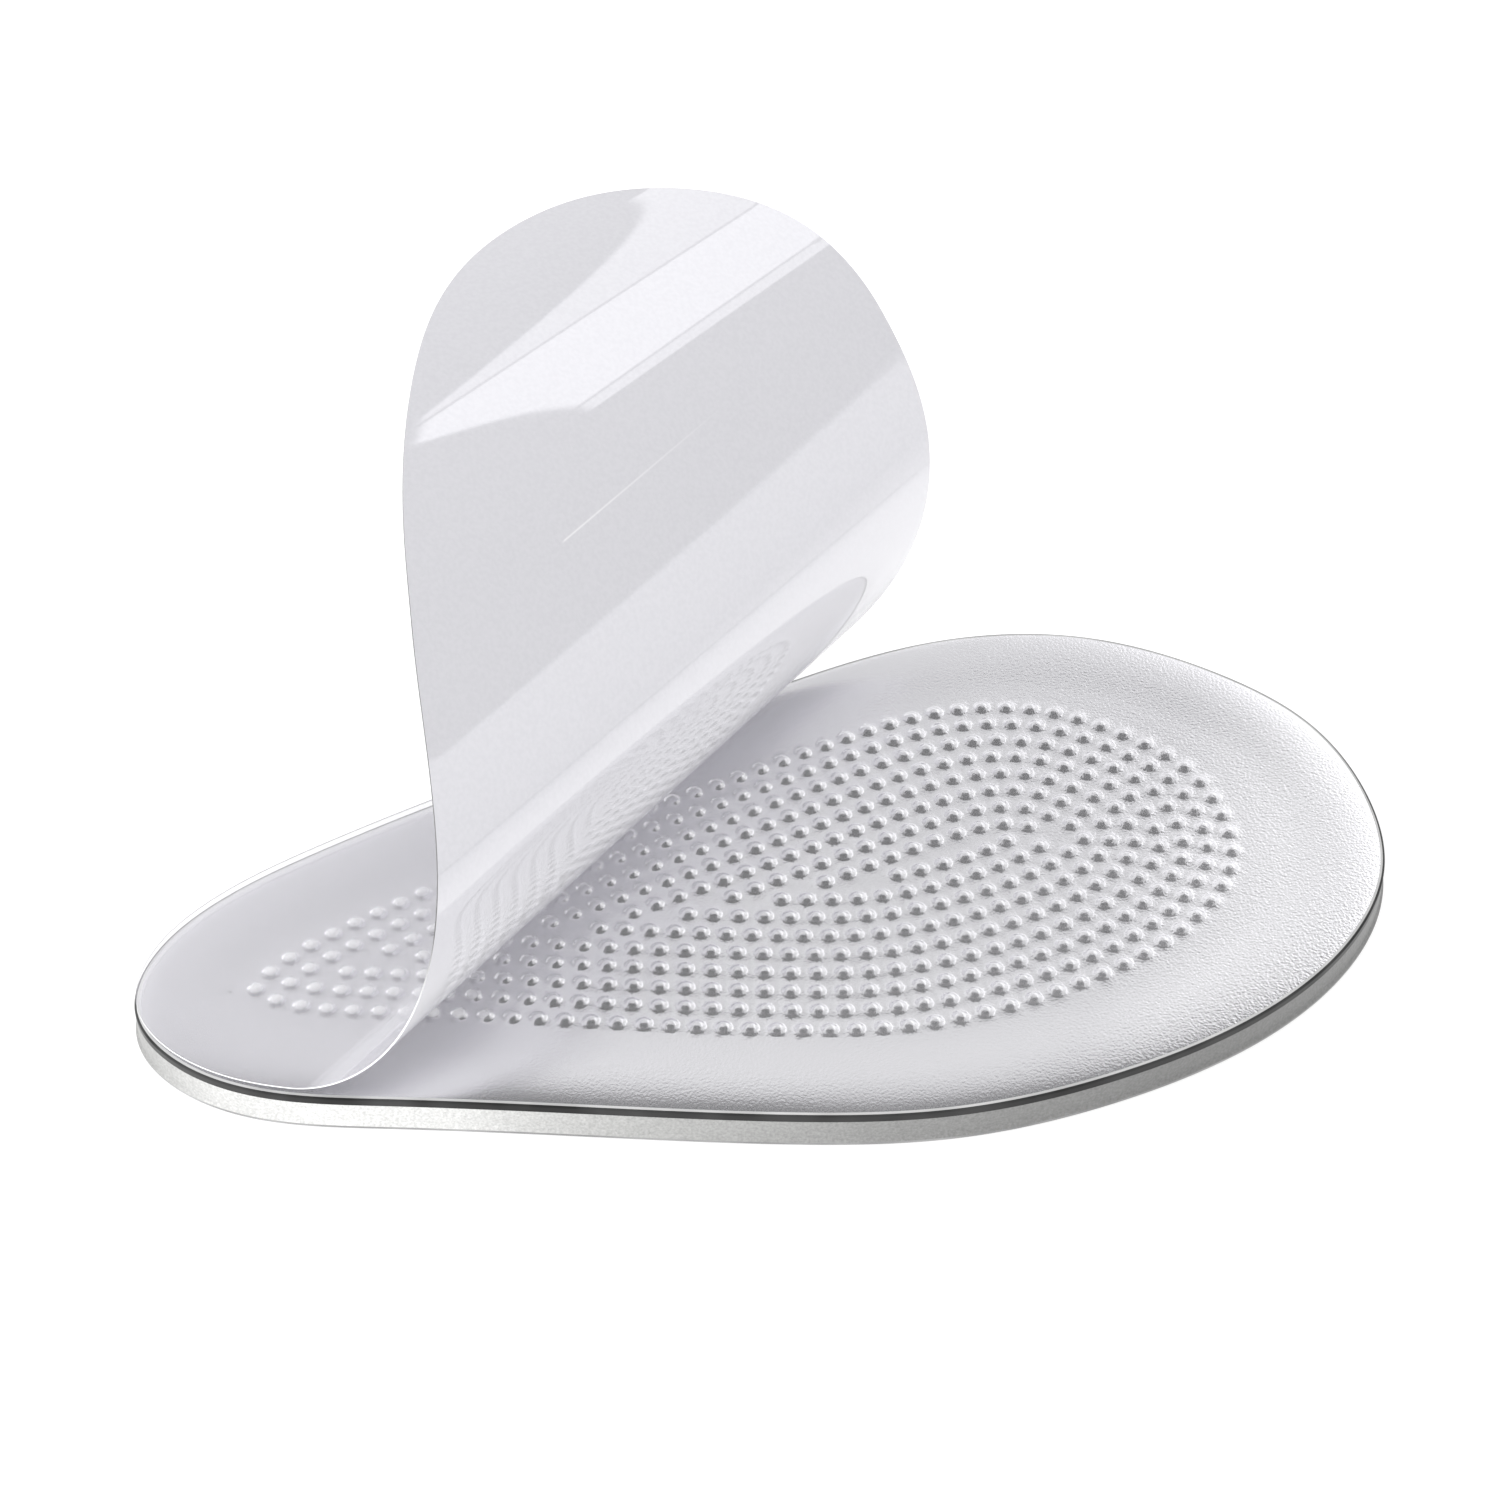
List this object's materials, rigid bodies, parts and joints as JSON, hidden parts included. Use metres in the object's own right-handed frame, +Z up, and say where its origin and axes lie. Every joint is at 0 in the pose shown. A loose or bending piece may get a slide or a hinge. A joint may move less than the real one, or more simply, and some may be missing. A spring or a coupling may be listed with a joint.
{
  "type": "metatarsal pad",
  "caption": "Pear-shaped clear gel forefoot pad with a rounded rim and a dish of raised nubs, its clear cover film half peeled back.",
  "frame": {"origin": "middle of the pad's length on its flat underside", "axes": "+X along the pad from the narrow end to the wide end, +Z up out of the nubbed face"},
  "size_m": [0.105, 0.0807, 0.0399],
  "materials": {
    "gel": "clear soft gel, glossy hammered top, satin wall",
    "film": "clear glossy film"
  },
  "bodies": {
    "root": {"gel_pad": "gel", "peel_film": "film"}
  },
  "joints": []
}
